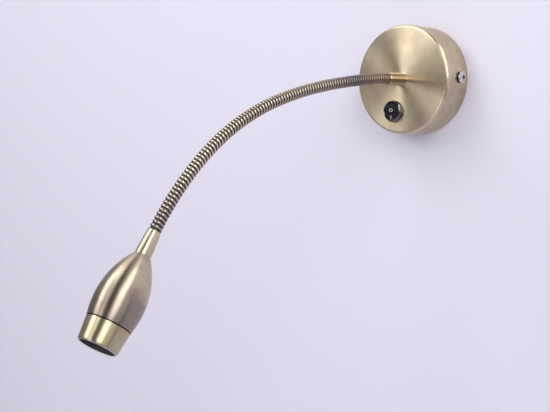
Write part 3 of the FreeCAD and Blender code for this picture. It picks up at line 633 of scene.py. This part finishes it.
def hose_tree():
    """Winds a wire round a curve that lies in the plane x = 0."""
    tree = bpy.data.node_groups.new("wound_hose", "GeometryNodeTree")
    tree.interface.new_socket("Geometry", in_out="INPUT", socket_type="NodeSocketGeometry")
    for name, kind in (("Hose radius", "NodeSocketFloat"), ("Wire radius", "NodeSocketFloat"),
                       ("Groove radius", "NodeSocketFloat"), ("Pitch", "NodeSocketFloat"),
                       ("Start distance", "NodeSocketFloat"), ("Points", "NodeSocketInt"),
                       ("Wire finish", "NodeSocketMaterial")):
        tree.interface.new_socket(name, in_out="INPUT", socket_type=kind)
    tree.interface.new_socket("Geometry", in_out="OUTPUT", socket_type="NodeSocketGeometry")
    given = add_node(tree, "NodeGroupInput").outputs
    line = add_node(tree, "GeometryNodeResampleCurve",
                    {"Curve": given["Geometry"], "Count": given["Points"]})
    length = add_node(tree, "GeometryNodeSplineParameter").outputs["Length"]
    distance = math_node(tree, "ADD", length, given["Start distance"])
    turns = math_node(tree, "DIVIDE", distance, given["Pitch"])
    angle = math_node(tree, "MULTIPLY", turns, math.tau)
    reach = math_node(tree, "SUBTRACT", given["Hose radius"], given["Wire radius"])
    tangent = add_node(tree, "GeometryNodeInputTangent").outputs[0]
    upward = vector_node(tree, "CROSS_PRODUCT", tangent, X_AXIS)
    rise = math_node(tree, "MULTIPLY", reach, math_node(tree, "COSINE", angle))
    side = math_node(tree, "MULTIPLY", reach, math_node(tree, "SINE", angle))
    lift = scaled(tree, upward, rise)
    shift = add_node(tree, "ShaderNodeCombineXYZ", {"X": side}).outputs[0]
    measured = add_node(tree, "GeometryNodeStoreNamedAttribute",
                        {"Geometry": line.outputs[0], "Name": "distance", "Value": distance},
                        data_type="FLOAT", domain="POINT")
    marked = add_node(tree, "GeometryNodeStoreNamedAttribute",
                      {"Geometry": measured.outputs[0], "Name": "middle",
                       "Value": add_node(tree, "GeometryNodeInputPosition").outputs[0]},
                      data_type="FLOAT_VECTOR", domain="POINT")
    outward = vector_node(tree, "ADD", lift, shift)
    wound = add_node(tree, "GeometryNodeSetPosition",
                     {"Geometry": marked.outputs[0], "Offset": outward})
    section = add_node(tree, "GeometryNodeCurvePrimitiveCircle",
                       {"Resolution": wire_sides, "Radius": given["Wire radius"]})
    wire = add_node(tree, "GeometryNodeCurveToMesh",
                    {"Curve": wound.outputs[0], "Profile Curve": section.outputs[0],
                     "Fill Caps": True})
    middle = add_node(tree, "GeometryNodeInputNamedAttribute", {"Name": "middle"},
                      data_type="FLOAT_VECTOR")
    place = add_node(tree, "GeometryNodeInputPosition").outputs[0]
    from_middle = vector_node(tree, "DISTANCE", place, middle.outputs[0], result="Value")
    crest = remap(tree, from_middle, given["Groove radius"], given["Hose radius"])
    wire = add_node(tree, "GeometryNodeStoreNamedAttribute",
                    {"Geometry": wire.outputs[0], "Name": "crest", "Value": crest},
                    data_type="FLOAT", domain="POINT")
    wire = add_node(tree, "GeometryNodeRemoveAttribute",
                    {"Geometry": wire.outputs[0], "Name": "middle"})
    wire = add_node(tree, "GeometryNodeSetMaterial",
                    {"Geometry": wire.outputs[0], "Material": given["Wire finish"]})
    smooth = add_node(tree, "GeometryNodeSetShadeSmooth", {"Geometry": wire.outputs[0]})
    real = add_node(tree, "GeometryNodeRealizeInstances", {"Geometry": smooth.outputs[0]})
    add_node(tree, "NodeGroupOutput", {"Geometry": real.outputs[0]})
    return tree


def run_tree(carrier, tree, values, name):
    """Runs a tree on an object and returns the result as a plain mesh object."""
    modifier = carrier.modifiers.new("build", "NODES")
    modifier.node_group = tree
    for item in tree.interface.items_tree:
        if item.in_out == "INPUT" and item.name in values:
            modifier[item.identifier] = values[item.name]
    bpy.context.view_layer.update()
    graph = bpy.context.evaluated_depsgraph_get()
    mesh = bpy.data.meshes.new_from_object(carrier.evaluated_get(graph),
                                           preserve_all_data_layers=True, depsgraph=graph)
    mesh.name = name
    bpy.data.objects.remove(carrier)
    result = bpy.data.objects.new(name, mesh)
    bpy.context.scene.collection.objects.link(result)
    return result


def middle_line(start, end, step):
    """A curve object along the hose between two distances."""
    data = bpy.data.curves.new("middle_line", "CURVE")
    data.dimensions = "3D"
    spline = data.splines.new("POLY")
    count = round((end - start) / step)
    spline.points.add(count)
    for k, point in enumerate(spline.points):
        point.co = (*hose_place(start + (end - start) * k / count)[0], 1)
    line = bpy.data.objects.new("middle_line", data)
    bpy.context.scene.collection.objects.link(line)
    return line


# %% Tubes that follow the hose
ring_step = 0.0013
ring_points = 32
sharp_edge = math.radians(40)


def bent_tubes(name, tubes, finish):
    """One piece of tubes along the hose, each (start, end, side, radius, bore). A tube's middle
    line runs side metres to the right of the hose's, and a bore of 0 makes it solid."""
    points, faces = [], []
    for start, end, side, radius, bore in tubes:
        count = round((end - start) / ring_step)
        walls = (radius, bore) if bore else (radius,)
        first = len(points)
        for reach in walls:
            for k in range(count + 1):
                middle, droop = hose_place(start + (end - start) * k / count)
                upward = Vector((0, -math.sin(droop), math.cos(droop)))
                for n in range(ring_points):
                    turn = math.tau * n / ring_points
                    across = X_AXIS * (side + reach * math.cos(turn))
                    points.append(middle + across + upward * (reach * math.sin(turn)))
        wall_points = (count + 1) * ring_points
        for wall in range(len(walls)):
            for k in range(count):
                for n in range(ring_points):
                    m = (n + 1) % ring_points
                    here = first + wall * wall_points + k * ring_points
                    quad = (here + n, here + m, here + ring_points + m, here + ring_points + n)
                    faces.append(quad if wall == 0 else quad[::-1])
        for k, turned in ((0, False), (count, True)):
            rim = [first + k * ring_points + n for n in range(ring_points)]
            if bore:
                for n in range(ring_points):
                    m = (n + 1) % ring_points
                    quad = (rim[m], rim[n], rim[n] + wall_points, rim[m] + wall_points)
                    faces.append(quad[::-1] if turned else quad)
            else:
                faces.append(rim if turned else rim[::-1])
    mesh = bpy.data.meshes.new(name)
    mesh.from_pydata(points, [], faces)
    mesh.materials.append(finish)
    for face in mesh.polygons:
        face.use_smooth = len(face.vertices) == 4
    mesh.set_sharp_from_angle(angle=sharp_edge)
    piece = bpy.data.objects.new(name, mesh)
    bpy.context.scene.collection.objects.link(piece)
    return piece


# %% Hose lengths
points_per_turn = 28
line_points_per_turn = 8
end_gap = 0.0001
core_radius, core_bore = 0.00225, 0.0015      # inside the ferrules, where no second wire covers it
core_grip = 0.0085
lead_radius, lead_offset = 0.00055, 0.00065
lead_start = -0.0267                          # inside the canopy
lead_end = hose_length + 0.0447               # at the circuit board in the head
slots = {part["node"]: part["material_slot"] for part in frame["record"]["subparts"]}
winding = hose_tree()
count = len(neck_joints)
middles = [(a + b) / 2 for a, b in zip(distances, distances[1:])]
cuts = [end_gap] + middles[1:-1] + [hose_length - end_gap]
print("cuts at:", ["%.1f mm" % (cut * 1000) for cut in cuts])

# %% Wind and fill the hose
for k in range(count):
    start, end = cuts[k], cuts[k + 1]
    piece = run_tree(middle_line(start, end, pitch / line_points_per_turn), winding,
                     {"Hose radius": hose_radius, "Wire radius": wire_radius,
                      "Groove radius": groove_radius, "Pitch": pitch, "Start distance": start,
                      "Points": round((end - start) / pitch * points_per_turn) + 1,
                      "Wire finish": finishes["hose_brass"]},
                     "hose_wire_%d" % (k + 1))
    core_tubes = [(start, end, 0.0, groove_radius, core_bore)]
    if k == 0:
        core_tubes.append((-core_grip, start - end_gap / 2, 0.0, core_radius, core_bore))
    if k == count - 1:
        core_tubes.append((end + end_gap / 2, hose_length + core_grip, 0.0, core_radius, core_bore))
    core = bent_tubes("hose_core_%d" % (k + 1), core_tubes, finishes["hose_core_steel"])
    lead_from = lead_start if k == 0 else start
    lead_to = lead_end if k == count - 1 else end
    lead_tubes = [(lead_from, lead_to, side, lead_radius, 0)
                  for side in (-lead_offset, lead_offset)]
    leads = bent_tubes("hose_leads_%d" % (k + 1), lead_tubes, finishes[slots["neck_leads_0"]])
    for part, kind in ((piece, "coil"), (core, "core"), (leads, "leads")):
        nodes = ["neck_%s_%d" % (kind, k), "neck_%s_%d" % (kind, k + 1)]
        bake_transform(part)
        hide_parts(*nodes)
    print(piece.name, len(piece.data.polygons), "faces,", core.name, len(core.data.polygons))
